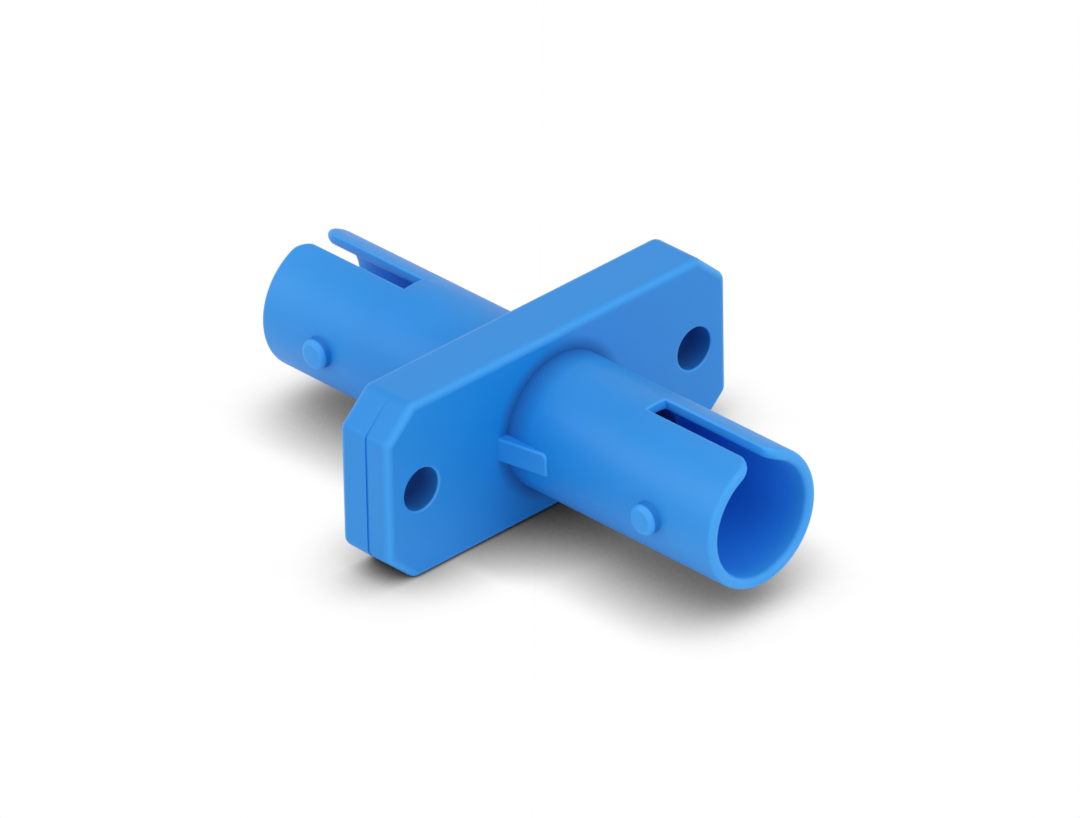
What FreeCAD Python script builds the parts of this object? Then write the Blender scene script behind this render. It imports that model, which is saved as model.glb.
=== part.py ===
"""Panel adapter that joins two bayonet fibre plugs end to end.

Two blue plastic mouldings are welded back to back through their half flanges. Each carries a
slotted barrel with two bayonet lugs and, inside it, half of the holder for a split ceramic
sleeve. The sleeve lines up the 2.5 mm ferrules of the two plugs.

Frame: the barrels lie along Y, the front mouth looks to -Y. The flange's long side is X and
+Z is up. The origin is on the barrel axis, half way between the flange's two faces.
Lengths are millimetres. A depth "s" is a distance from the origin towards one barrel's mouth.
"""
import FreeCAD
import Part

import math
import os

Vector = FreeCAD.Vector

# Flange, seen from the front
FLANGE_HEIGHT = 9.4
CORNER_CUT_ALONG = 1.72
CORNER_CUT_UP = 1.57
FRONT_PLATE = 1.4
REAR_PLATE = 1.85
CORNER_EDGE_RADIUS = 0.55
OUTER_EDGE_RADIUS = 0.42

# Groove at the weld line, along the flange's two ends. It runs out along the corner cuts.
GROOVE_HALF_WIDTH = 0.08
GROOVE_DEPTH = 0.15

# Screw holes through both half flanges, and the flange beyond each hole's middle
SCREW_SPACING = 18.0
SCREW_HOLE_DIAMETER = 2.2
SCREW_END_MARGIN = 2.175
SCREW_RIM_RADIUS = 0.12

# Barrel
BARREL_DIAMETER = 7.0
BARREL_LENGTH = 13.45
BARREL_WALL = 0.6
MOUTH_FLAT = 0.04

# Keyway in the top of each barrel
KEYWAY_WIDTH = 1.2
KEYWAY_LENGTH = 6.95
KEYWAY_MOUTH_RADIUS = 0.8

# Bayonet lugs, one on each side of a barrel
LUG_DIAMETER = 1.55
LUG_PROUD = 0.55
LUG_SETBACK = 4.08
LUG_EDGE_RADIUS = 0.18

# Tapered key rib at the root of the front barrel, in line with its left lug
KEY_LENGTH = 2.7
KEY_HEIGHT = 1.24
KEY_BASE_PROUD = 0.55
KEY_TIP_PROUD = 0.05
KEY_TIP_CUT_ALONG = 0.22
KEY_TIP_CUT_UP = 0.18
KEY_EDGE_RADIUS = 0.12

# Split alignment sleeve
SLEEVE_BORE = 2.5
SLEEVE_WALL = 0.35
SLEEVE_LENGTH = 11.4
SLEEVE_SLIT = 0.4
SLEEVE_END_BREAK = 0.08

# Sleeve holder inside the barrels
SLEEVE_RADIAL_PLAY = 0.02
SLEEVE_END_PLAY = 0.1
HOLDER_WALL = 0.5
HOLDER_LIP = 0.9
FERRULE_PLAY = 0.2
FERRULE_FUNNEL = 0.4

# Socket floor: a ledge stops the plug's body before it can press on the holder. It takes up
# part of the ring between the holder and the socket's wall.
SHOULDER_GAP = 0.15
LEDGE_PART_OF_RING = 0.25
WEB_THICKNESS = 1.5

# Pegs on the front half that locate it in the rear half for welding
PEG_DIAMETER = 1.2
PEG_HEIGHT = 0.8
PEG_TIP_BREAK = 0.15
PEG_PLAY = 0.05
PEG_END_GAP = 0.15

# Sizes that follow from the ones above
FLANGE_WIDTH = SCREW_SPACING + 2 * SCREW_END_MARGIN
FLANGE_THICKNESS = FRONT_PLATE + REAR_PLATE
FACE = FLANGE_THICKNESS / 2
PARTING_Y = FRONT_PLATE - FACE
MOUTH = FACE + BARREL_LENGTH
BARREL_R = BARREL_DIAMETER / 2
SOCKET_R = BARREL_R - BARREL_WALL
MOUTH_RADIUS = (BARREL_WALL - MOUTH_FLAT) / 2
LUG_R = LUG_DIAMETER / 2
LUG_TIP = BARREL_R + LUG_PROUD
SCREW_R = SCREW_HOLE_DIAMETER / 2
SLEEVE_OUTER_R = SLEEVE_BORE / 2 + SLEEVE_WALL
CHAMBER_R = SLEEVE_OUTER_R + SLEEVE_RADIAL_PLAY
HOLDER_R = CHAMBER_R + HOLDER_WALL
FERRULE_HOLE_R = SLEEVE_BORE / 2 + FERRULE_PLAY
CHAMBER_END = SLEEVE_LENGTH / 2 + SLEEVE_END_PLAY
HOLDER_END = CHAMBER_END + HOLDER_LIP
SHOULDER = HOLDER_END + SHOULDER_GAP
ROOT_R = SOCKET_R - LEDGE_PART_OF_RING * (SOCKET_R - HOLDER_R)
PEG_X = (BARREL_R + SCREW_SPACING / 2 - SCREW_R) / 2

# Small overlap that keeps a cutting or joining solid from ending on another's face
REACH = 1.0


def circle_edges(shape, radius, y):
    """Full or part circles of one radius in the plane at y, centred on the barrel axis."""
    found = []
    for edge in shape.Edges:
        curve = edge.Curve
        if not isinstance(curve, Part.Circle):
            continue
        if abs(curve.Radius - radius) < 1e-4 and abs(curve.Center.y - y) < 1e-4:
            found.append(edge)
    return found


def straight_edges(shape, belongs):
    """Straight edges whose two end points both pass the test."""
    found = []
    for edge in shape.Edges:
        if not isinstance(edge.Curve, Part.Line):
            continue
        if all(belongs(vertex.Point) for vertex in edge.Vertexes):
            found.append(edge)
    return found


def prism(points, direction):
    """Solid made by pushing a closed outline of points along a direction."""
    wire = Part.makePolygon(points + [points[0]])
    return Part.Face(wire).extrude(direction)


def octagon(half_w, half_h, flat_w, flat_h, y):
    """Corners of a rectangle with cut corners, in the plane at y."""
    corners = [(-half_w, -flat_h), (-flat_w, -half_h), (flat_w, -half_h), (half_w, -flat_h),
               (half_w, flat_h), (flat_w, half_h), (-flat_w, half_h), (-half_w, flat_h)]
    return [Vector(x, y, z) for x, z in corners]


def half_flange(parting, side):
    """Half of the flange, from the parting plane to its outer face on one side (-1 or +1)."""
    half_w = FLANGE_WIDTH / 2
    half_h = FLANGE_HEIGHT / 2
    flat_w = half_w - CORNER_CUT_ALONG
    flat_h = half_h - CORNER_CUT_UP
    thickness = side * FACE - parting
    plate = prism(octagon(half_w, half_h, flat_w, flat_h, parting), Vector(0, thickness, 0))
    along = [edge for edge in plate.Edges if abs(edge.Length - abs(thickness)) < 1e-6]
    plate = plate.makeFillet(CORNER_EDGE_RADIUS, along)
    face_y = side * FACE
    outer = [edge for edge in plate.Edges
             if all(abs(vertex.Point.y - face_y) < 1e-6 for vertex in edge.Vertexes)]
    plate = plate.makeFillet(OUTER_EDGE_RADIUS, outer)
    groove = Vector(0, side * GROOVE_HALF_WIDTH, 0)
    beyond = octagon(half_w + REACH, half_h + REACH, flat_w + REACH, flat_h + REACH, parting)
    kept = octagon(half_w - GROOVE_DEPTH, half_h, flat_w, flat_h, parting)
    plate = plate.cut(prism(beyond, groove).cut(prism(kept, groove)))
    for x in (-SCREW_SPACING / 2, SCREW_SPACING / 2):
        start = Vector(x, -FLANGE_THICKNESS, 0)
        bore = Part.makeCylinder(SCREW_R, 2 * FLANGE_THICKNESS, start, Vector(0, 1, 0))
        plate = plate.cut(bore)
    rims = circle_edges(plate, SCREW_R, face_y)
    return plate.makeFillet(SCREW_RIM_RADIUS, rims)


def barrel_and_holder(parting_s, side):
    """Barrel, socket and sleeve holder, turned about the axis from one half section."""
    section = [
        (CHAMBER_R, parting_s),
        (CHAMBER_R, CHAMBER_END),
        (FERRULE_HOLE_R, CHAMBER_END),
        (FERRULE_HOLE_R, HOLDER_END - FERRULE_FUNNEL),
        (FERRULE_HOLE_R + FERRULE_FUNNEL, HOLDER_END),
        (HOLDER_R, HOLDER_END),
        (HOLDER_R, WEB_THICKNESS),
        (ROOT_R, WEB_THICKNESS),
        (ROOT_R, SHOULDER),
        (SOCKET_R, SHOULDER),
        (SOCKET_R, MOUTH),
        (BARREL_R, MOUTH),
        (BARREL_R, parting_s),
    ]
    points = [Vector(r, side * s, 0) for r, s in section]
    wire = Part.makePolygon(points + [points[0]])
    turned = Part.Face(wire).revolve(Vector(0, 0, 0), Vector(0, 1, 0), 360)
    lip = circle_edges(turned, BARREL_R, side * MOUTH) + circle_edges(turned, SOCKET_R, side * MOUTH)
    return turned.makeFillet(MOUTH_RADIUS, lip)


def keyway_cutter(side):
    """Slot through the top of a barrel, with its two mouth corners rounded away."""
    half = KEYWAY_WIDTH / 2
    flare = half + KEYWAY_MOUTH_RADIUS
    inner = MOUTH - KEYWAY_LENGTH
    bend = MOUTH - KEYWAY_MOUTH_RADIUS
    middle = KEYWAY_MOUTH_RADIUS * (1 - math.sqrt(0.5))
    bottom = (HOLDER_R + SOCKET_R) / 2

    def at(x, s):
        return Vector(x, side * s, bottom)

    outline = [
        Part.LineSegment(at(-half, inner), at(half, inner)),
        Part.LineSegment(at(half, inner), at(half, bend)),
        Part.Arc(at(half, bend), at(half + middle, MOUTH - middle), at(flare, MOUTH)),
        Part.LineSegment(at(flare, MOUTH), at(flare, MOUTH + REACH)),
        Part.LineSegment(at(flare, MOUTH + REACH), at(-flare, MOUTH + REACH)),
        Part.LineSegment(at(-flare, MOUTH + REACH), at(-flare, MOUTH)),
        Part.Arc(at(-flare, MOUTH), at(-half - middle, MOUTH - middle), at(-half, bend)),
        Part.LineSegment(at(-half, bend), at(-half, inner)),
    ]
    wire = Part.Wire([curve.toShape() for curve in outline])
    return Part.Face(wire).extrude(Vector(0, 0, BARREL_R + REACH - bottom))


def bayonet_lug(side, across):
    """Round lug on the left (-1) or right (+1) of a barrel, rooted inside the wall."""
    root = (SOCKET_R + math.sqrt(BARREL_R ** 2 - LUG_R ** 2)) / 2
    start = Vector(across * root, side * (MOUTH - LUG_SETBACK), 0)
    lug = Part.makeCylinder(LUG_R, LUG_TIP - root, start, Vector(across, 0, 0))
    rim = [edge for edge in lug.Edges
           if isinstance(edge.Curve, Part.Circle) and abs(abs(edge.Curve.Center.x) - LUG_TIP) < 1e-6]
    return lug.makeFillet(LUG_EDGE_RADIUS, rim)


def key_rib():
    """Wedge in the corner between the flange and the front barrel's left side."""
    root = (SOCKET_R + BARREL_R) / 2
    start = PARTING_Y - FRONT_PLATE / 2
    end = -FACE - KEY_LENGTH
    top = KEY_HEIGHT / 2
    seen_from_left = [
        Vector(-root, start, -top),
        Vector(-root, end, -top),
        Vector(-root, end, top - KEY_TIP_CUT_UP),
        Vector(-root, end + KEY_TIP_CUT_ALONG, top),
        Vector(-root, start, top),
    ]
    bar = prism(seen_from_left, Vector(-BARREL_R, 0, 0))
    slope = (KEY_BASE_PROUD - KEY_TIP_PROUD) / KEY_LENGTH
    start_proud = KEY_BASE_PROUD + slope * (start + FACE)
    seen_from_below = [
        Vector(-root, start, -KEY_HEIGHT),
        Vector(-BARREL_R - start_proud, start, -KEY_HEIGHT),
        Vector(-BARREL_R - KEY_TIP_PROUD, end, -KEY_HEIGHT),
        Vector(-root, end, -KEY_HEIGHT),
    ]
    rib = bar.common(prism(seen_from_below, Vector(0, 0, 2 * KEY_HEIGHT)))
    outer = straight_edges(rib, lambda p: p.x < -BARREL_R)
    long_ones = [edge for edge in outer if edge.Length > KEY_LENGTH / 2]
    return rib.makeFillet(KEY_EDGE_RADIUS, long_ones)


def housing(side, parting):
    """One moulding without its locating features: half flange, barrel, lugs and keyway."""
    plate = half_flange(parting, side)
    start = Vector(0, -FLANGE_THICKNESS, 0)
    middle = Part.makeCylinder(SOCKET_R, 2 * FLANGE_THICKNESS, start, Vector(0, 1, 0))
    body = plate.cut(middle).fuse(barrel_and_holder(side * parting, side))
    for across in (-1, 1):
        body = body.fuse(bayonet_lug(side, across))
    return body.cut(keyway_cutter(side))


def locating_peg(x):
    """Peg that stands on the front half's parting face."""
    root = FRONT_PLATE / 2
    start = Vector(x, PARTING_Y - root, 0)
    peg = Part.makeCylinder(PEG_DIAMETER / 2, PEG_HEIGHT + root, start, Vector(0, 1, 0))
    tip_y = PARTING_Y + PEG_HEIGHT
    tip = [edge for edge in peg.Edges
           if isinstance(edge.Curve, Part.Circle) and abs(edge.Curve.Center.y - tip_y) < 1e-6]
    return peg.makeChamfer(PEG_TIP_BREAK, tip)


def front_housing():
    body = housing(-1, PARTING_Y)
    body = body.fuse(key_rib())
    for x in (-PEG_X, PEG_X):
        body = body.fuse(locating_peg(x))
    return body.removeSplitter()


def rear_housing():
    body = housing(1, PARTING_Y)
    for x in (-PEG_X, PEG_X):
        socket = Part.makeCylinder(PEG_DIAMETER / 2 + PEG_PLAY, REACH + PEG_HEIGHT + PEG_END_GAP,
                                   Vector(x, PARTING_Y - REACH, 0), Vector(0, 1, 0))
        body = body.cut(socket)
    return body.removeSplitter()


def alignment_sleeve():
    """Thin ceramic tube with a slit along it, so that it grips both ferrules."""
    start = Vector(0, -SLEEVE_LENGTH / 2, 0)
    along = Vector(0, 1, 0)
    tube = Part.makeCylinder(SLEEVE_OUTER_R, SLEEVE_LENGTH, start, along)
    tube = tube.cut(Part.makeCylinder(SLEEVE_BORE / 2, SLEEVE_LENGTH, start, along))
    rims = [edge for edge in tube.Edges if isinstance(edge.Curve, Part.Circle)]
    tube = tube.makeChamfer(SLEEVE_END_BREAK, rims)
    slit = Part.makeBox(SLEEVE_SLIT, SLEEVE_LENGTH + 2 * REACH, SLEEVE_OUTER_R + REACH,
                        Vector(-SLEEVE_SLIT / 2, -SLEEVE_LENGTH / 2 - REACH, 0))
    return tube.cut(slit)


def main():
    os.makedirs("parts", exist_ok=True)
    nodes = {
        "front_housing": front_housing(),
        "rear_housing": rear_housing(),
        "alignment_sleeve": alignment_sleeve(),
    }
    for name, shape in nodes.items():
        box = shape.BoundBox
        print(f"{name}: valid {shape.isValid()}, solids {len(shape.Solids)}, "
              f"volume {shape.Volume:.1f} mm3, x {box.XMin:.2f} to {box.XMax:.2f}, "
              f"y {box.YMin:.2f} to {box.YMax:.2f}, z {box.ZMin:.2f} to {box.ZMax:.2f}")
        shape.exportStep(f"parts/{name}.step")


main()
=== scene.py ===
# %% [markdown]
# # A panel adapter for two bayonet fibre plugs
#
# The object is a small blue moulding, 30 mm long. A plug with a spring-loaded bayonet nut goes
# on each end, and a split ceramic tube in the middle lines up the two glass fibres.
#
# The exact solids were drawn in a CAD program and come in as loose triangles. They fix every
# size and place. The cells below model the two mouldings again as clean, joined meshes, because
# only a joined mesh shades smoothly and can have its edges softened. All the numbers are in
# millimetres, and one helper turns them into Blender's metres at the end.

# %% Load the frame
import math

import bmesh
import bpy
from mathutils import Matrix, Vector


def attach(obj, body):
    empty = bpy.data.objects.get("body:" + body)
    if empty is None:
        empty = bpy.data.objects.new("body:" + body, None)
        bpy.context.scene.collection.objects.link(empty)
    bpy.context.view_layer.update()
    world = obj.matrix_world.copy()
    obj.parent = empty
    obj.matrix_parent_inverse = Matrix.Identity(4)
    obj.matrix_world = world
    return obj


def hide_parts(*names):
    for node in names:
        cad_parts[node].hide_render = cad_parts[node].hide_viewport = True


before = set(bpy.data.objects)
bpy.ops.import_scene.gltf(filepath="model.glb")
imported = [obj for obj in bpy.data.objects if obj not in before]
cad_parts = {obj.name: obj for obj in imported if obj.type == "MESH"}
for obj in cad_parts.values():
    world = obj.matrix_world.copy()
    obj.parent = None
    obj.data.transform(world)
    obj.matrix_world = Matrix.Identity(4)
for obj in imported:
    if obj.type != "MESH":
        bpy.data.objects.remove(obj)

bpy.context.view_layer.update()

MM = 0.001
print("nodes:", sorted(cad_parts))

# %% [markdown]
# ## The camera
#
# The picture was taken with a long lens from the front left, 30 degrees above the table. Blender
# needs a place, a turn and a focal length. The turn is given as two angles round the object and
# a small roll, and the three axes of the camera follow from them. Setting the axes directly
# avoids a tracking constraint, which the other views of the object would have to undo.

# %% Camera
VIEW_AZIMUTH = math.radians(-44.048)
VIEW_ELEVATION = math.radians(30.449)
VIEW_ROLL = math.radians(-1.092)
VIEW_DISTANCE = 614.997
VIEW_RIGHT = 0.221
VIEW_UP = -0.121
FOCAL_PIXELS = 13089.454
PICTURE_WIDTH = 1080

back = Vector((math.sin(VIEW_AZIMUTH) * math.cos(VIEW_ELEVATION),
               -math.cos(VIEW_AZIMUTH) * math.cos(VIEW_ELEVATION),
               math.sin(VIEW_ELEVATION)))
level_right = Vector((math.cos(VIEW_AZIMUTH), math.sin(VIEW_AZIMUTH), 0))
level_up = back.cross(level_right)
right = level_right * math.cos(VIEW_ROLL) + level_up * math.sin(VIEW_ROLL)
up = level_up * math.cos(VIEW_ROLL) - level_right * math.sin(VIEW_ROLL)

camera_data = bpy.data.cameras.new("studio_camera")
camera_data.lens = camera_data.sensor_width * FOCAL_PIXELS / PICTURE_WIDTH
camera_data.clip_start = 0.01
camera = bpy.data.objects.new("studio_camera", camera_data)
place = (right * VIEW_RIGHT + up * VIEW_UP + back * VIEW_DISTANCE) * MM
turn = Matrix((right, up, back)).transposed()
camera.matrix_world = Matrix.Translation(place) @ turn.to_4x4()
bpy.context.scene.collection.objects.link(camera)
bpy.context.scene.camera = camera
print("lens in mm:", round(camera_data.lens, 1))

# %% [markdown]
# ## Sizes
#
# The barrels lie along Y, the front mouth looks to -Y and the flange's long side is X. The two
# mouldings have the same barrel and differ in the thickness of their half flange, so each step
# is a function that takes the moulding's side. A depth is a distance from the origin towards
# that side's mouth.

# %% Sizes
FRONT = -1
REAR = 1

FLANGE_WIDTH = 22.35
FLANGE_HEIGHT = 9.4
CORNER_CUT_ALONG = 1.72
CORNER_CUT_UP = 1.57
FACE = 1.625
PARTING_Y = -0.225
CORNER_EDGE_RADIUS = 0.55
OUTER_EDGE_RADIUS = 0.42
GROOVE_HALF_WIDTH = 0.08
GROOVE_DEPTH = 0.06

SCREW_X = 9.0
SCREW_R = 1.1
SCREW_RIM_RADIUS = 0.12

BARREL_R = 3.5
SOCKET_R = 2.9
WALL_MIDDLE = (SOCKET_R + BARREL_R) / 2
EDGE_ROUND = (BARREL_R - SOCKET_R) / 2
MOUTH = 15.075

CHAMBER_R = 1.62
CHAMBER_END = 5.8
FERRULE_HOLE_R = 1.45
FERRULE_FUNNEL = 0.4
HOLDER_R = 2.12
HOLDER_END = 6.7
ROOT_R = 2.705
SHOULDER = 6.85
WEB = 1.5

# %% [markdown]
# ## Small helpers
#
# A bmesh is Blender's mesh while it is being edited. These helpers find parts of it by where
# they are, where the editor would need clicks: the edges that run round the axis at one depth,
# or the distance of a point from the axis.
#
# Three numbers ride on every point and paint light and shade into the plastic's colour further
# down. One is a painted highlight, 1 on a rounded edge. One is a painted shade, 1 in a corner or
# a hole. "inside" is 1 in the sockets, where a purer blue is painted for the light that bounces
# between their walls. The helper that rounds an edge writes the painted highlight. It starts
# from the points that the rounding shares with old faces, where it is 0, and goes inwards row by
# row up to 1 in the middle.

# %% Helpers that find things in a mesh
NEAR = 1e-4
FULL_TURN = 2 * math.pi


def new_mesh():
    """An empty bmesh whose points carry the three numbers."""
    bm = bmesh.new()
    for name in ("painted_highlight", "painted_shade", "inside"):
        bm.verts.layers.float.new(name)
    return bm


def from_axis(co):
    """Distance of a point from the barrel's axis."""
    return math.hypot(co.x, co.z)


def ring_edges(bm, radius, y):
    """Edges that run round the axis at one radius and place along Y."""
    return [e for e in bm.edges
            if all(abs(v.co.y - y) < NEAR and abs(from_axis(v.co) - radius) < NEAR for v in e.verts)]


def soften(bm, edges, width, segments):
    """Round the given edges off and paint a highlight on the rounding, strongest along its middle."""
    made = bmesh.ops.bevel(bm, geom=edges, offset=width, offset_type="OFFSET", segments=segments,
                           profile=0.5, affect="EDGES", clamp_overlap=True, material=-1)
    painted_highlight = bm.verts.layers.float["painted_highlight"]
    strips = set(made["faces"])
    waiting = {v for v in made["verts"] if all(face in strips for face in v.link_faces)}
    row = set(made["verts"]) - waiting
    amount = 0
    while row:
        for v in row:
            v[painted_highlight] = min(amount, 1)
        amount += 2 / segments
        row = {v for v in waiting if any(e.other_vert(v) in row for e in v.link_edges)}
        waiting -= row


def cut_across(bm, depths, side):
    """Add an edge loop at each depth, right through the mesh, without changing its shape."""
    for depth in depths:
        bmesh.ops.bisect_plane(bm, geom=bm.verts[:] + bm.edges[:] + bm.faces[:], dist=NEAR,
                               plane_co=(0, side * depth, 0), plane_no=(0, 1, 0))


# %% [markdown]
# ## The barrel
#
# On the real moulding the barrel, the socket for the plug and the tube that holds the ceramic
# sleeve are all round about one axis, so a lathe would turn them in one go. Blender's spin does
# the same: a line through half of the section is turned through a full circle. A cylinder with
# a second one cut out of it would need a Boolean for every step in the bore, and each of those
# leaves untidy faces. The line starts on the flange's face, just outside the barrel, and ends in
# the parting plane, so that the flange can be joined to both of its ends later.
#
# The crease where barrel and flange meet looks darker on the real part, because it lies in
# shade. A painted shade sits on the points of the crease, and two more points of the line on
# each side of it let that painted shade fade.

# %% Spin the barrel
COLUMNS = 144
BREAK = 0.08
CREASE = 0.3
CREASE_END_ON_FACE = 0.7
CREASE_END_ON_BARREL = 1.4
# Painted shade in the crease, strongest in the corner and weaker on barrel and face.
CREASE_SHADE = 0.75
CREASE_SHADE_ON_BARREL = 0.5
CREASE_SHADE_ON_FACE = 0.45


def spun_barrel(side):
    """The barrel's section turned about the axis, open at both ends."""
    parting = side * PARTING_Y
    section = [
        (BARREL_R + CREASE_END_ON_FACE, FACE),
        (BARREL_R + CREASE, FACE),
        (BARREL_R, FACE),
        (BARREL_R, FACE + CREASE),
        (BARREL_R, FACE + CREASE_END_ON_BARREL),
        (BARREL_R, MOUTH),
        (SOCKET_R, MOUTH),
        (SOCKET_R, SHOULDER),
        (ROOT_R, SHOULDER),
        (ROOT_R, WEB),
        (HOLDER_R, WEB),
        (HOLDER_R, HOLDER_END),
        (FERRULE_HOLE_R + FERRULE_FUNNEL, HOLDER_END),
        (FERRULE_HOLE_R, HOLDER_END - FERRULE_FUNNEL),
        (FERRULE_HOLE_R, CHAMBER_END),
        (CHAMBER_R, CHAMBER_END),
        (CHAMBER_R, parting),
    ]
    bm = new_mesh()
    line = [bm.verts.new((0, side * depth, radius)) for radius, depth in section]
    wires = [bm.edges.new(pair) for pair in zip(line, line[1:])]
    bmesh.ops.spin(bm, geom=line + wires, cent=(0, 0, 0), axis=(0, 1, 0),
                   angle=FULL_TURN, steps=COLUMNS, use_merge=True)
    bmesh.ops.remove_doubles(bm, verts=bm.verts[:], dist=NEAR)
    # Paint shade on the rings of points in and beside the crease.
    painted_shade = bm.verts.layers.float["painted_shade"]
    rings = [(BARREL_R, FACE, CREASE_SHADE), (BARREL_R, FACE + CREASE, CREASE_SHADE_ON_BARREL),
             (BARREL_R + CREASE, FACE, CREASE_SHADE_ON_FACE)]
    for radius, depth, amount in rings:
        for edge in ring_edges(bm, radius, side * depth):
            for v in edge.verts:
                v[painted_shade] = amount
    for radius in (ROOT_R, SOCKET_R):
        soften(bm, ring_edges(bm, radius, side * SHOULDER), BREAK / 2, segments=1)
    for radius in (HOLDER_R, FERRULE_HOLE_R + FERRULE_FUNNEL):
        soften(bm, ring_edges(bm, radius, side * HOLDER_END), BREAK, segments=2)
    return bm


trial = spun_barrel(FRONT)
print("barrel:", len(trial.verts), "points,", len(trial.faces), "faces")
trial.free()

# %% [markdown]
# ## The keyway and the round mouth
#
# A slot in the top of each barrel takes the key of the plug's body and stops it from turning.
# Its two corners at the mouth are well rounded, so that the key finds its way in. The mould
# rounds the wall's free edge too. Round the mouth it is a half circle. Along the slot the wall's
# end is nearly flat, with a tight corner outside and a softer one inside.
#
# A Boolean could cut the slot, but its edge would cross the barrel's columns at odd places and
# no bevel could follow it. Here the columns are made to follow the slot instead. The faces over
# the slot and those that close the mouth are deleted, and the columns beside the slot slide
# round the axis until the first one stands on its edge. Then each point of the wall is moved
# towards the middle of the wall by an amount that only depends on how far it is from the free
# edge. On the edge itself the outer and the inner skin meet and are merged. The rounded free
# edge gets a painted highlight, with a little more of it towards the mouth. An edge loop is
# added wherever the shape, a painted highlight or a painted shade has to turn.

# %% Cut the keyway
KEYWAY_HALF = 0.6
KEYWAY_INNER = 8.125
KEYWAY_CORNER = 0.8
KEYWAY_BEND = MOUTH - KEYWAY_CORNER
KEYWAY_OUTER_CORNER = 0.12
KEYWAY_SQUARE = 4
KEYWAY_COLUMNS = 4
KEYWAY_EASE = math.radians(60)
ROUND_STEPS = 7
# Share of painted highlight at the mouth, and the lengths over which the sockets' painted blue fades
# out at the mouth and beside the slot.
MOUTH_HIGHLIGHT = 0.35
INSIDE_FADE = 1.3
KEYWAY_FADE = 3.0
COLUMN_ANGLE = FULL_TURN / COLUMNS
EDGE_ANGLE = KEYWAY_COLUMNS * COLUMN_ANGLE


def keyway_half_width(depth):
    """Half of the slot's width, which flares to a quarter circle at the mouth."""
    into_bend = min(max(depth - KEYWAY_BEND, 0), KEYWAY_CORNER)
    return KEYWAY_HALF + KEYWAY_CORNER - math.sqrt(KEYWAY_CORNER ** 2 - into_bend ** 2)


def from_free_edge(x, depth):
    """Distance of a point of the wall from the edge that runs round mouth and slot."""
    to_mouth = MOUTH - depth
    beside = abs(x) - KEYWAY_HALF
    if depth <= KEYWAY_INNER:
        return KEYWAY_INNER - depth if beside <= 0 else math.hypot(beside, KEYWAY_INNER - depth)
    if beside < KEYWAY_CORNER and depth > KEYWAY_BEND:
        return KEYWAY_CORNER - math.hypot(KEYWAY_CORNER - beside, depth - KEYWAY_BEND)
    return min(beside, to_mouth)


def mouth_share(depth):
    """How much of the mouth's half circle the edge has: 0 along the slot and 1 at the mouth."""
    return min(max((depth - KEYWAY_BEND) / (KEYWAY_CORNER - EDGE_ROUND), 0), 1)


def outer_corner(depth):
    """Radius of the wall's outer corner: half of the wall at the mouth, less along the slot."""
    return KEYWAY_OUTER_CORNER + (EDGE_ROUND - KEYWAY_OUTER_CORNER) * mouth_share(depth)


def skin_radius(distance, depth, outer):
    """Distance of the wall's outer or inner skin from the axis, near its free edge."""
    corner = outer_corner(depth)
    if outer:
        left = max(1 - max(distance, 0) / corner, 0)
        return BARREL_R - corner + corner * math.sqrt(1 - left ** 2)
    left = max(1 - max(distance, 0) / EDGE_ROUND, 0)
    power = KEYWAY_SQUARE + (2 - KEYWAY_SQUARE) * mouth_share(depth)
    return BARREL_R - corner - (BARREL_R - SOCKET_R - corner) * (1 - left ** power) ** (1 / power)


def round_offset(step):
    """Distance from the free edge at equal turns of the half circle."""
    return EDGE_ROUND * (1 - math.cos(math.radians(90 * step / ROUND_STEPS)))


def column_offset(beyond):
    """Where a column goes that stands at an angle beyond the slot's edge, as a distance from it."""
    step = beyond / COLUMN_ANGLE
    if step <= ROUND_STEPS:
        return round_offset(step)
    last = ROUND_STEPS * COLUMN_ANGLE
    share = min((beyond - last) / (KEYWAY_EASE - last), 1)
    ease = 1 - share * share * (3 - 2 * share)
    return EDGE_ROUND + (beyond - last) * WALL_MIDDLE + (last * WALL_MIDDLE - EDGE_ROUND) * (1 - ease)


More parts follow.
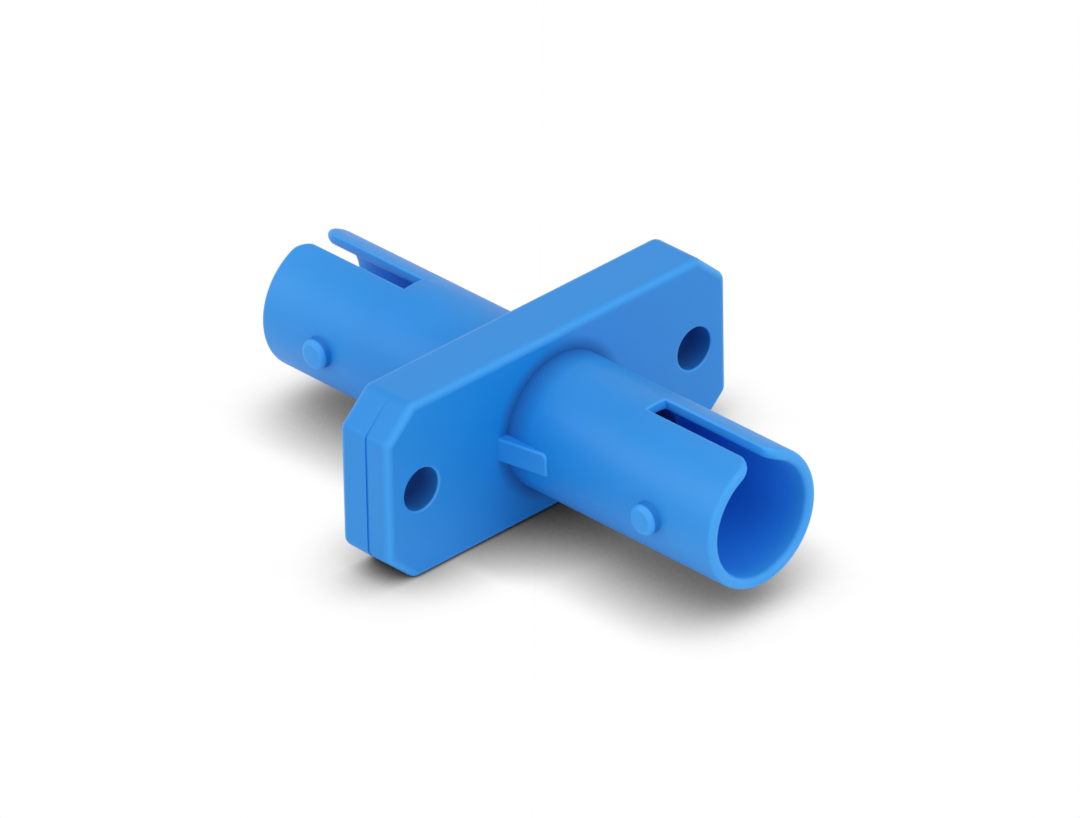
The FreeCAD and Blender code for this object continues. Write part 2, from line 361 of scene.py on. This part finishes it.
def cut_keyway(bm, side):
    """Open the slot and the mouth, and round the wall's free edge."""
    near_mouth = [MOUTH - round_offset(step) for step in range(1, ROUND_STEPS + 1)]
    near_end = [KEYWAY_INNER - round_offset(step) for step in range(ROUND_STEPS + 1)]
    bend = [KEYWAY_BEND + KEYWAY_CORNER * math.sin(math.radians(a)) for a in range(0, 45, 9)]
    cut_across(bm, near_mouth + near_end + bend + [MOUTH - INSIDE_FADE], side)

    def in_wall(co):
        return from_axis(co) > (HOLDER_R + ROOT_R) / 2

    def goes(face):
        centre = face.calc_center_median()
        if not in_wall(centre):
            return False
        angle = abs(math.atan2(centre.x, centre.z))
        over_slot = angle < EDGE_ANGLE and side * centre.y > KEYWAY_INNER
        return over_slot or abs(side * centre.y - MOUTH) < NEAR

    bmesh.ops.delete(bm, geom=[f for f in bm.faces if goes(f)], context="FACES")

    painted_highlight = bm.verts.layers.float["painted_highlight"]
    for v in bm.verts:
        if not in_wall(v.co) or side * v.co.y < SHOULDER + EDGE_ROUND:
            continue
        depth = side * v.co.y
        angle = math.atan2(v.co.x, v.co.z)
        edge = keyway_half_width(depth)
        beyond = abs(angle) - EDGE_ANGLE
        if beyond < NEAR:
            x = edge * abs(angle) / EDGE_ANGLE
            sideways = 0
        else:
            sideways = column_offset(beyond)
            x = edge + sideways
        distance = from_free_edge(x, depth)
        if distance < NEAR:
            distance = 0
        outer = from_axis(v.co) > WALL_MIDDLE
        radius = skin_radius(distance, depth, outer)
        # Painted highlight on the rounded free edge, and a little more of it towards the mouth.
        round_width = outer_corner(depth) if outer else EDGE_ROUND
        on_edge = min(max(1 - distance / round_width, 0) * 2, 1)
        towards_mouth = max(depth - KEYWAY_INNER, 0) / (MOUTH - KEYWAY_INNER)
        v[painted_highlight] = max(on_edge, MOUTH_HIGHLIGHT * towards_mouth)
        moved = math.asin((x - sideways) / radius) + sideways / WALL_MIDDLE
        v.co.x = radius * math.sin(math.copysign(moved, angle))
        v.co.z = radius * math.cos(moved)
    bmesh.ops.remove_doubles(bm, verts=bm.verts[:], dist=NEAR)
    bmesh.ops.recalc_face_normals(bm, faces=bm.faces[:])


trial = spun_barrel(FRONT)
cut_keyway(trial, FRONT)
holes = [e for e in trial.edges if e.is_boundary]
print("barrel with keyway:", len(trial.faces), "faces,", len(holes), "open edges")
trial.free()

# %% [markdown]
# ## The half flange
#
# The flange is a plate with cut corners and a soft outer edge. The two half flanges are welded
# in the parting plane, where the mould leaves a fine groove along the flange's ends.
#
# The outline is eight points, pushed through to the outer face. Its edges are rounded while the
# plate is still a simple block, which is when a bevel works best. Only then are the two flat
# faces taken off, the barrel and the two screw holes put in, and each flat face filled again
# between all the loops that lie in its plane. That leaves one closed skin and needs no Boolean.
#
# The groove is a strip next to the parting plane that is set in, deepest at the flange's ends.
# Two edge loops close together make its wall, so it adds no new faces to join.
#
# Before plate and barrel are joined, the socket's wall gets its painted light: the purer blue
# of "inside" fades out towards the free edge and a painted highlight takes over. The fade is
# longest at the top, where light falls in through the keyway. The socket's floor and the sleeve
# holder get a painted shade.

# %% Half flange with screw holes
CORNER_TURN = math.radians(45)
GROOVE_WALL = 0.004
SCREW_COLUMNS = 64
# Painted highlight on the flange's rounded edges, painted shade in the sleeve holder and down the
# screw holes.
FLANGE_EDGE_HIGHLIGHT = 0.9
SOCKET_EDGE = 0.1
HOLDER_SHADE = 0.7
HOLE_SHADE = 0.65


def flange_edge(side):
    """The plate's rounded rim, without its two flat faces."""
    half_w = FLANGE_WIDTH / 2
    half_h = FLANGE_HEIGHT / 2
    flat_w = half_w - CORNER_CUT_ALONG
    flat_h = half_h - CORNER_CUT_UP
    corners = [(-half_w, -flat_h), (-flat_w, -half_h), (flat_w, -half_h), (half_w, -flat_h),
               (half_w, flat_h), (flat_w, half_h), (-flat_w, half_h), (-half_w, flat_h)]
    face_y = side * FACE
    bm = new_mesh()
    outline = bm.faces.new([bm.verts.new((x, PARTING_Y, z)) for x, z in corners])
    pushed = bmesh.ops.extrude_face_region(bm, geom=[outline], use_keep_orig=True)
    moved = [v for v in pushed["geom"] if isinstance(v, bmesh.types.BMVert)]
    bmesh.ops.translate(bm, verts=moved, vec=(0, face_y - PARTING_Y, 0))

    def edges_at(y):
        return [e for e in bm.edges if all(abs(v.co.y - y) < NEAR for v in e.verts)]

    along = [e for e in bm.edges if abs(e.verts[0].co.y - e.verts[1].co.y) > NEAR]
    soften(bm, along, CORNER_EDGE_RADIUS * math.tan(CORNER_TURN / 2), segments=6)
    soften(bm, edges_at(face_y), OUTER_EDGE_RADIUS, segments=8)
    # The flange's roundings keep a little less of their painted highlight.
    painted_highlight = bm.verts.layers.float["painted_highlight"]
    for v in bm.verts:
        v[painted_highlight] *= FLANGE_EDGE_HIGHLIGHT
    groove_side = side * (PARTING_Y + side * GROOVE_HALF_WIDTH)
    cut_across(bm, [groove_side, groove_side - GROOVE_WALL], side)
    for v in bm.verts:
        into_cut = abs(v.co.x) - flat_w
        if into_cut > 0 and side * v.co.y < groove_side - NEAR:
            share = min(into_cut / CORNER_CUT_ALONG, 1) ** 2
            v.co.x -= math.copysign(GROOVE_DEPTH * share, v.co.x)

    def is_flat(face):
        return all(abs(v.co.y - face.verts[0].co.y) < NEAR for v in face.verts)

    bmesh.ops.delete(bm, geom=[f for f in bm.faces if is_flat(f)], context="FACES")
    return bm


def screw_hole(bm, x, side):
    """A round hole from the parting plane to a soft rim in the outer face."""
    start = bm.verts.new((x, PARTING_Y, SCREW_R))
    end = bm.verts.new((x, side * FACE, SCREW_R))
    rim = bm.verts.new((x, side * FACE, SCREW_R + 2 * SCREW_RIM_RADIUS))
    line = [start, end, rim]
    wires = [bm.edges.new((start, end)), bm.edges.new((end, rim))]
    known = set(bm.verts) - set(line)
    bmesh.ops.spin(bm, geom=line + wires, cent=(x, 0, 0), axis=(0, 1, 0),
                   angle=FULL_TURN, steps=SCREW_COLUMNS, use_merge=True)
    new = [v for v in bm.verts if v not in known]
    bmesh.ops.remove_doubles(bm, verts=new, dist=NEAR)
    rims = [e for e in bm.edges
            if all(abs(v.co.y - side * FACE) < NEAR
                   and abs(math.hypot(v.co.x - x, v.co.z) - SCREW_R) < NEAR for v in e.verts)]
    soften(bm, rims, SCREW_RIM_RADIUS, segments=4)
    # Painted shade down the screw hole, darkest at its far end.
    painted_shade = bm.verts.layers.float["painted_shade"]
    for v in set(bm.verts) - known:
        into_hole = (FACE - side * v.co.y) / (FACE - side * PARTING_Y)
        if abs(math.hypot(v.co.x - x, v.co.z) - SCREW_R) < NEAR and into_hole > 0:
            v[painted_shade] = HOLE_SHADE + (1 - HOLE_SHADE) * into_hole


def paint_socket_light_and_shade(bm, side):
    """Paint the socket's wall a purer blue for its light, a highlight near its free edge, and shade on
    its floor and the sleeve holder.
    """
    painted_highlight, painted_shade, inside = (bm.verts.layers.float[name] for name in ("painted_highlight", "painted_shade", "inside"))
    # Painted light: a purer blue on the socket's wall, fading into a painted highlight at the free
    # edge, and a painted shade on its floor and the sleeve holder.
    for v in bm.verts:
        depth = side * v.co.y
        share = min(max((SOCKET_R + SOCKET_EDGE - from_axis(v.co)) / SOCKET_EDGE, 0), 1)
        to_edge = from_free_edge(v.co.x, depth) if v.co.z > 0 else MOUTH - depth
        fade = INSIDE_FADE + (KEYWAY_FADE - INSIDE_FADE) * max(v.co.z, 0) / SOCKET_R
        v[inside] = share * min(max(to_edge / fade, 0), 1)
        v[painted_highlight] = max(v[painted_highlight], share - v[inside])
        if share > 0 and depth < SHOULDER + NEAR:
            v[painted_shade] = HOLDER_SHADE


def moulding(side):
    """One closed skin: flange, screw holes, barrel, socket and sleeve holder."""
    bm = spun_barrel(side)
    cut_keyway(bm, side)
    paint_socket_light_and_shade(bm, side)
    plate = bpy.data.meshes.new("plate")
    edge = flange_edge(side)
    edge.to_mesh(plate)
    edge.free()
    bm.from_mesh(plate)
    bpy.data.meshes.remove(plate)
    for x in (-SCREW_X, SCREW_X):
        screw_hole(bm, x, side)
    for y in (side * FACE, PARTING_Y):
        loops = [e for e in bm.edges if e.is_boundary and all(abs(v.co.y - y) < NEAR for v in e.verts)]
        bmesh.ops.triangle_fill(bm, edges=loops, use_beauty=True, use_dissolve=False,
                                normal=(0, side if y == side * FACE else -side, 0))
    bmesh.ops.recalc_face_normals(bm, faces=bm.faces[:])
    return bm


trial = moulding(FRONT)
holes = [e for e in trial.edges if not e.is_manifold]
print("moulding:", len(trial.faces), "faces,", len(holes), "edges that aren't closed,",
      "volume", round(trial.calc_volume(), 1), "mm3")
trial.free()

# %% [markdown]
# ## The bayonet lugs
#
# Two round lugs stand on each barrel, left and right. The plug's nut is pushed over them and
# turned until its slots hold them.
#
# A lug is round about its own axis, so it is spun too. Where it meets the barrel the mould has
# a small fillet, and that is the part a plain cylinder would miss: the fillet has to follow the
# barrel's curve. So the lug is spun as if it stood on a flat plate, and its foot is then draped
# over the barrel, fully at the bottom and not at all above the fillet.

# %% Spin a lug and drape its foot
LUG_R = 0.775
LUG_TIP = 4.05
LUG_DEPTH = 10.995
LUG_EDGE_RADIUS = 0.28
LUG_FOOT = 0.04
LUG_SUNK = 0.25
LUG_COLUMNS = 64
# Painted shade on the lug's side and painted highlight on its face.
LUG_SIDE_SHADE = 0.35
LUG_FACE_HIGHLIGHT = 0.6


def add_lug(bm, side, across):
    """A lug on one flank of the barrel, with its foot draped over the barrel's curve."""
    known = set(bm.verts)
    foot_arc = [math.radians(a) for a in (0, 22.5, 45, 67.5, 90)]
    foot = [(LUG_R + LUG_FOOT * (1 - math.sin(a)), BARREL_R + LUG_FOOT * (1 - math.cos(a)))
            for a in foot_arc]
    section = ([(0, BARREL_R - LUG_SUNK), (LUG_R + LUG_FOOT, BARREL_R - LUG_SUNK)] + foot
               + [(LUG_R, LUG_TIP), (0, LUG_TIP)])
    centre_y = side * LUG_DEPTH
    line = [bm.verts.new((across * out, centre_y, radius)) for radius, out in section]
    wires = [bm.edges.new(pair) for pair in zip(line, line[1:])]
    bmesh.ops.spin(bm, geom=line + wires, cent=(0, centre_y, 0), axis=(1, 0, 0),
                   angle=FULL_TURN, steps=LUG_COLUMNS, use_merge=True)
    new = [v for v in bm.verts if v not in known]
    bmesh.ops.remove_doubles(bm, verts=new, dist=NEAR)

    def on_rim(co):
        out = abs(co.x) - LUG_TIP
        around = math.hypot(co.y - centre_y, co.z) - LUG_R
        return abs(out) < NEAR and abs(around) < NEAR

    rim = [e for e in bm.edges if all(on_rim(v.co) for v in e.verts)]
    soften(bm, rim, LUG_EDGE_RADIUS, segments=6)
    painted_highlight, painted_shade = bm.verts.layers.float["painted_highlight"], bm.verts.layers.float["painted_shade"]
    for v in set(bm.verts) - known:
        on_side = abs(v.co.x) < LUG_TIP - LUG_EDGE_RADIUS + NEAR
        on_face = abs(v.co.x) > LUG_TIP - NEAR
        # Paint shade on the lug's side, a full highlight on its rounded rim and a weaker one on its
        # face.
        v[painted_shade] = LUG_SIDE_SHADE * on_side
        v[painted_highlight] = LUG_FACE_HIGHLIGHT if on_face else float(not on_side)
        above = abs(v.co.x) - (BARREL_R + LUG_FOOT)
        drape = min(max(-above / LUG_FOOT, 0), 1)
        sag = BARREL_R - math.sqrt(BARREL_R ** 2 - v.co.z ** 2)
        v.co.x -= across * sag * drape


# %% [markdown]
# ## The key rib
#
# A small wedge in the corner between flange and barrel, on one side of the front barrel only,
# shows which way round the part goes into its panel. A cube with its far end pulled in and one
# corner cut makes it, and a bevel softens it as the mould does.

# %% Shape the rib
KEY_LENGTH = 2.7
KEY_HALF_HEIGHT = 0.62
KEY_BASE_PROUD = 0.55
KEY_TIP_PROUD = 0.05
KEY_TIP_CUT_ALONG = 0.22
KEY_TIP_CUT_UP = 0.18
KEY_EDGE = 0.14
KEY_SUNK = 0.35
# Painted highlight over the whole rib.
KEY_HIGHLIGHT = 0.3


def add_rib(bm):
    """The wedge on the left of the front barrel, sunk a little into barrel and flange."""
    top = KEY_HALF_HEIGHT
    tip_y = -FACE - KEY_LENGTH
    from_side = [(-FACE + KEY_SUNK, -top), (tip_y, -top), (tip_y, top - KEY_TIP_CUT_UP),
                 (tip_y + KEY_TIP_CUT_ALONG, top), (-FACE + KEY_SUNK, top)]
    slope = (KEY_BASE_PROUD - KEY_TIP_PROUD) / KEY_LENGTH
    foot = [bm.verts.new((-BARREL_R + KEY_SUNK, y, z)) for y, z in from_side]
    pushed = bmesh.ops.extrude_face_region(bm, geom=[bm.faces.new(foot)], use_keep_orig=True)
    outer = [v for v in pushed["geom"] if isinstance(v, bmesh.types.BMVert)]
    for v in outer:
        v.co.x = -BARREL_R - KEY_TIP_PROUD - slope * (v.co.y - tip_y)
    edges = {e for v in outer for e in v.link_edges}
    known = set(bm.verts) - set(outer)
    soften(bm, list(edges), KEY_EDGE, segments=4)
    # The rib's roundings keep their painted highlight, and the rest of it gets a weaker one.
    painted_highlight = bm.verts.layers.float["painted_highlight"]
    for v in set(bm.verts) - known:
        v[painted_highlight] = max(v[painted_highlight], KEY_HIGHLIGHT)


# %% [markdown]
# ## Finishing a piece
#
# A mesh made in millimetres is scaled to metres inside the mesh, so its object can stay at the
# origin, unturned and unscaled. Faces are set to shade smooth, and an edge that turns by more
# than 35 degrees stays sharp. A flat face next to a small round edge would still take some of
# its shading from the rounding, so the Weighted Normal modifier lets the larger face decide.

# %% Turn a mesh into a finished piece
SHARP = math.radians(35)


def finish_piece(name, bm, material, node):
    """Put the mesh on an object at the origin with its material, tie it to the part's root and hide
    the CAD node it stands in for.
    """
    bmesh.ops.recalc_face_normals(bm, faces=bm.faces[:])
    bmesh.ops.scale(bm, verts=bm.verts[:], vec=(MM, MM, MM))
    for face in bm.faces:
        face.smooth = True
    for edge in bm.edges:
        edge.smooth = edge.is_manifold and edge.calc_face_angle() < SHARP
    mesh = bpy.data.meshes.new(name)
    bm.to_mesh(mesh)
    bm.free()
    mesh.materials.append(material)
    piece = bpy.data.objects.new(name, mesh)
    bpy.context.scene.collection.objects.link(piece)
    weigh = piece.modifiers.new("let_flat_faces_stay_flat", "WEIGHTED_NORMAL")
    weigh.keep_sharp = True
    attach(piece, "root")
    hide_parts(node)
    print(name, "has", len(mesh.polygons), "faces")


# %% [markdown]
# ## The blue plastic
#
# The mouldings are dyed right through and have a satin skin. Seen close, that skin has a fine
# grain from the mould, it is a little uneven in gloss, and the colour drifts slightly where the
# melt cooled faster. All three are noise in Object coordinates, so they stay fixed to the part.
#
# The plastic also lets a little light in. A rounded edge, which is lit from both of its sides,
# looks lighter than the faces next to it, and a corner or a hole looks deeper in colour because
# it lies in shade. A true volume would be slow to render and would be lost on export. Here the
# numbers on the points of the mesh paint light and shade into the colour instead: a lighter blue
# as a painted highlight on edges, a darker blue as a painted shade in corners and holes, and a
# purer blue as painted light in the sockets, where light bounces between blue walls. The numbers
# for shade and for the sockets also make the skin matt, or holes and sockets would glint.

# %% A shared skin effect
def skin_group():
    """Fine grain for bump, and a slow drift for gloss and colour, with sizes in millimetres."""
    group = bpy.data.node_groups.new("moulded_skin", "ShaderNodeTree")
    for name, start in (("Grain per mm", 12.0), ("Drift per mm", 0.35)):
        socket = group.interface.new_socket(name, in_out="INPUT", socket_type="NodeSocketFloat")
        socket.default_value = start
    for name in ("Grain", "Drift"):
        group.interface.new_socket(name, in_out="OUTPUT", socket_type="NodeSocketFloat")
    nodes, links = group.nodes, group.links
    inside = nodes.new("NodeGroupInput")
    outside = nodes.new("NodeGroupOutput")
    where = nodes.new("ShaderNodeTexCoord")
    for name, detail, roughness in (("Grain", 2.0, 0.5), ("Drift", 3.0, 0.55)):
        scale = nodes.new("ShaderNodeMath")
        scale.operation = "MULTIPLY"
        scale.inputs[1].default_value = 1 / MM
        noise = nodes.new("ShaderNodeTexNoise")
        noise.inputs["Detail"].default_value = detail
        noise.inputs["Roughness"].default_value = roughness
        links.new(inside.outputs[name + " per mm"], scale.inputs[0])
        links.new(scale.outputs[0], noise.inputs["Scale"])
        links.new(where.outputs["Object"], noise.inputs["Vector"])
        links.new(noise.outputs["Fac"], outside.inputs[name])
    return group


SKIN = skin_group()
NOISE_LOW = 0.3
NOISE_HIGH = 0.7
MATT = 0.9


def ramp(nodes, low_colour, high_colour):
    """A colour ramp over the range that the noise mostly stays in."""
    node = nodes.new("ShaderNodeValToRGB")
    low_end, high_end = node.color_ramp.elements
    low_end.position = NOISE_LOW
    low_end.color = (*low_colour, 1)
    high_end.position = NOISE_HIGH
    high_end.color = (*high_colour, 1)
    return node


def mixed_in(nodes, links, attribute, start, kind, end):
    """Mix an end value into a colour or number by as much as a number on the points says."""
    amount = nodes.new("ShaderNodeAttribute")
    amount.attribute_name = attribute
    mix = nodes.new("ShaderNodeMix")
    mix.data_type = kind
    sockets = {socket.name: socket for socket in mix.inputs if socket.enabled}
    sockets["B"].default_value = end
    links.new(amount.outputs["Fac"], sockets["Factor"])
    links.new(start, sockets["A"])
    return next(socket for socket in mix.outputs if socket.enabled)


def skin_material(name, grain, drift, colours, tints, gloss, bump_height):
    """A Principled material whose colour, roughness and bump come from the skin effect, and whose
    colour also takes the painted light and shade from the points.
    """
    material = bpy.data.materials.new(name)
    material.use_nodes = True
    nodes, links = material.node_tree.nodes, material.node_tree.links
    shader = nodes["Principled BSDF"]
    skin = nodes.new("ShaderNodeGroup")
    skin.node_tree = SKIN
    skin.inputs["Grain per mm"].default_value = grain
    skin.inputs["Drift per mm"].default_value = drift
    colour = ramp(nodes, *colours)
    rough = nodes.new("ShaderNodeMapRange")
    rough.inputs["From Min"].default_value = NOISE_LOW
    rough.inputs["From Max"].default_value = NOISE_HIGH
    rough.inputs["To Min"].default_value = gloss[0]
    rough.inputs["To Max"].default_value = gloss[1]
    bump = nodes.new("ShaderNodeBump")
    bump.inputs["Strength"].default_value = 1.0
    bump.inputs["Distance"].default_value = bump_height * MM
    links.new(skin.outputs["Drift"], colour.inputs["Fac"])
    seen_colour = colour.outputs["Color"]
    # Mix the painted highlight, painted shade and painted socket light into the colour.
    for attribute, tint in tints.items():
        seen_colour = mixed_in(nodes, links, attribute, seen_colour, "RGBA", (*tint, 1))
    links.new(seen_colour, shader.inputs["Base Color"])
    links.new(skin.outputs["Drift"], rough.inputs["Value"])
    roughness = rough.outputs["Result"]
    for attribute in ("inside", "painted_shade"):
        roughness = mixed_in(nodes, links, attribute, roughness, "FLOAT", MATT)
    links.new(roughness, shader.inputs["Roughness"])
    links.new(skin.outputs["Grain"], bump.inputs["Height"])
    links.new(bump.outputs["Normal"], shader.inputs["Normal"])
    return material


# Tints of painted light and shade: a purer blue for light in the sockets, a lighter blue for
# highlights on edges and a dark blue for shade in corners and holes.
BLUE = skin_material(
    "satin_blue_plastic", grain=9.0, drift=0.25,
    colours=((0.004, 0.265, 0.77), (0.008, 0.281, 0.81)),
    tints={"inside": (0.001, 0.24, 0.92), "painted_highlight": (0.04, 0.39, 0.97), "painted_shade": (0.002, 0.09, 0.38)},
    gloss=(0.42, 0.50), bump_height=0.0015)
CERAMIC = skin_material(
    "ground_white_ceramic", grain=20.0, drift=0.5,
    colours=((0.90, 0.89, 0.85), (0.94, 0.93, 0.90)),
    tints={}, gloss=(0.18, 0.26), bump_height=0.0004)
print("materials:", BLUE.name, "and", CERAMIC.name)

# %% Front moulding
front = moulding(FRONT)
for across in (-1, 1):
    add_lug(front, FRONT, across)
add_rib(front)
finish_piece("front_moulding", front, BLUE, "front_housing")

# %% Rear moulding
rear = moulding(REAR)
for across in (-1, 1):
    add_lug(rear, REAR, across)
finish_piece("rear_moulding", rear, BLUE, "rear_housing")

# %% [markdown]
# ## The ceramic sleeve
#
# Deep in the barrels a thin ceramic tube with a slit along it grips the two plugs' ferrules. It
# is another spun section. For the slit, two planes cut the tube through, the strip of faces
# between them is deleted, and each open wall is filled again.

# %% Spin and slit the sleeve
SLEEVE_BORE_R = 1.25
SLEEVE_OUTER_R = 1.6
SLEEVE_HALF_LENGTH = 5.7
SLEEVE_SLIT_HALF = 0.2
SLEEVE_END_BREAK = 0.08
SLEEVE_COLUMNS = 96

sleeve = new_mesh()
corners = [(SLEEVE_BORE_R, -SLEEVE_HALF_LENGTH), (SLEEVE_OUTER_R, -SLEEVE_HALF_LENGTH),
           (SLEEVE_OUTER_R, SLEEVE_HALF_LENGTH), (SLEEVE_BORE_R, SLEEVE_HALF_LENGTH)]
line = [sleeve.verts.new((0, y, radius)) for radius, y in corners]
wires = [sleeve.edges.new(pair) for pair in zip(line, line[1:] + line[:1])]
bmesh.ops.spin(sleeve, geom=line + wires, cent=(0, 0, 0), axis=(0, 1, 0),
               angle=FULL_TURN, steps=SLEEVE_COLUMNS, use_merge=True)
bmesh.ops.remove_doubles(sleeve, verts=sleeve.verts[:], dist=NEAR)
for radius in (SLEEVE_BORE_R, SLEEVE_OUTER_R):
    for y in (-SLEEVE_HALF_LENGTH, SLEEVE_HALF_LENGTH):
        soften(sleeve, ring_edges(sleeve, radius, y), SLEEVE_END_BREAK, segments=2)
for x in (-SLEEVE_SLIT_HALF, SLEEVE_SLIT_HALF):
    bmesh.ops.bisect_plane(sleeve, geom=sleeve.verts[:] + sleeve.edges[:] + sleeve.faces[:],
                           dist=NEAR, plane_co=(x, 0, 0), plane_no=(1, 0, 0))
strip = [f for f in sleeve.faces
         if abs(f.calc_center_median().x) < SLEEVE_SLIT_HALF and f.calc_center_median().z > 0]
bmesh.ops.delete(sleeve, geom=strip, context="FACES")
bmesh.ops.holes_fill(sleeve, edges=[e for e in sleeve.edges if e.is_boundary], sides=0)
print("sleeve: open edges", len([e for e in sleeve.edges if not e.is_manifold]))
finish_piece("ceramic_sleeve", sleeve, CERAMIC, "alignment_sleeve")

# %% [markdown]
# ## Table and light
#
# The part stands on a white sweep in a light tent, and everything but the shadow close to it is
# burnt out to pure white. In the scene the floor has two sides. For rays that carry light it is
# plain white paper. For rays that show it, it shines with a strength of 1, which is exactly
# white, darkened only where the part hides the tent from it. Ambient Occlusion measures that. So
# the picture gets its white ground and the part gets no extra light. Half of the light on the
# part comes from the tent itself, and six soft lamps give each face its tone.

# %% A mask for rays that show the backdrop
def seen_directly(nodes, links):
    """1 for camera, glossy and transmission rays, and 0 for the rays that carry light."""
    paths = nodes.new("ShaderNodeLightPath")
    mask = paths.outputs["Is Camera Ray"]
    for name in ("Is Glossy Ray", "Is Transmission Ray"):
        either = nodes.new("ShaderNodeMath")
        either.operation = "MAXIMUM"
        links.new(mask, either.inputs[0])
        links.new(paths.outputs[name], either.inputs[1])
        mask = either.outputs[0]
    return mask


# %% Floor
FLOOR_Z = -FLANGE_HEIGHT / 2
FLOOR_SIZE = 4000.0
PAPER_WHITE = 0.92
SHADOW_REACH = 5.0
SHADOW_SAMPLES = 16
CLOSED_SKY = 0.1
OPEN_SKY = 0.9
SHADOW_POWER = 1.3

floor_bm = bmesh.new()
bmesh.ops.create_grid(floor_bm, x_segments=1, y_segments=1, size=FLOOR_SIZE / 2 * MM)
bmesh.ops.translate(floor_bm, verts=floor_bm.verts[:], vec=(0, 0, FLOOR_Z * MM))
floor_mesh = bpy.data.meshes.new("table")
floor_bm.to_mesh(floor_mesh)
floor_bm.free()
floor = bpy.data.objects.new("table", floor_mesh)
bpy.context.scene.collection.objects.link(floor)

floor_material = bpy.data.materials.new("white_table")
floor_material.use_nodes = True
nodes, links = floor_material.node_tree.nodes, floor_material.node_tree.links
nodes.clear()
paper = nodes.new("ShaderNodeBsdfDiffuse")
paper.inputs["Color"].default_value = (PAPER_WHITE, PAPER_WHITE, PAPER_WHITE, 1)
open_share = nodes.new("ShaderNodeAmbientOcclusion")
open_share.samples = SHADOW_SAMPLES
open_share.inputs["Distance"].default_value = SHADOW_REACH * MM
burnt_out = nodes.new("ShaderNodeMapRange")
burnt_out.inputs["From Min"].default_value = CLOSED_SKY
burnt_out.inputs["From Max"].default_value = OPEN_SKY
darker = nodes.new("ShaderNodeMath")
darker.operation = "POWER"
darker.inputs[1].default_value = SHADOW_POWER
white = nodes.new("ShaderNodeEmission")
mix = nodes.new("ShaderNodeMixShader")
out = nodes.new("ShaderNodeOutputMaterial")
links.new(open_share.outputs["AO"], burnt_out.inputs["Value"])
links.new(burnt_out.outputs["Result"], darker.inputs[0])
links.new(darker.outputs[0], white.inputs["Strength"])
links.new(seen_directly(nodes, links), mix.inputs["Fac"])
links.new(paper.outputs[0], mix.inputs[1])
links.new(white.outputs[0], mix.inputs[2])
links.new(mix.outputs[0], out.inputs["Surface"])
floor_mesh.materials.append(floor_material)
print("floor at", FLOOR_Z, "mm")

# %% World
TENT_STRENGTH = 0.48

world = bpy.data.worlds.new("light_tent")
bpy.context.scene.world = world
world.use_nodes = True
nodes, links = world.node_tree.nodes, world.node_tree.links
nodes.clear()
tent = nodes.new("ShaderNodeBackground")
tent.inputs["Color"].default_value = (1, 1, 1, 1)
tent.inputs["Strength"].default_value = TENT_STRENGTH
backdrop = nodes.new("ShaderNodeBackground")
backdrop.inputs["Color"].default_value = (1, 1, 1, 1)
backdrop.inputs["Strength"].default_value = 1.0
mix = nodes.new("ShaderNodeMixShader")
out = nodes.new("ShaderNodeOutputWorld")
links.new(seen_directly(nodes, links), mix.inputs["Fac"])
links.new(tent.outputs[0], mix.inputs[1])
links.new(backdrop.outputs[0], mix.inputs[2])
links.new(mix.outputs[0], out.inputs["Surface"])


# %% Lamps
LAMP_DISTANCE = 0.5
LAMP_SIZE = 0.35


def soft_lamp(name, azimuth, elevation, power):
    """A square lamp that looks at the part from the given direction."""
    data = bpy.data.lights.new(name, "AREA")
    data.shape = "SQUARE"
    data.size = LAMP_SIZE
    data.energy = power
    lamp = bpy.data.objects.new(name, data)
    a, e = math.radians(azimuth), math.radians(elevation)
    direction = Vector((math.sin(a) * math.cos(e), -math.cos(a) * math.cos(e), math.sin(e)))
    lamp.location = direction * LAMP_DISTANCE
    lamp.rotation_euler = direction.to_track_quat("Z", "Y").to_euler()
    bpy.context.scene.collection.objects.link(lamp)


LAMPS = [
    ("front", 0, 20, 0.39),
    ("high_front", 10, 60, 0.28),
    ("right", 75, 20, 0.14),
    ("overhead", -44, 85, 0.36),
    ("left", -75, 10, 0.25),
    ("behind_left", -120, 30, 0.52),
]
for lamp in LAMPS:
    soft_lamp(*lamp)
print("lamps:", len(LAMPS), "with", round(sum(lamp[-1] for lamp in LAMPS), 2), "watts")

# %% Picture settings
bpy.context.scene.view_settings.view_transform = "Standard"
bpy.context.view_layer.update()
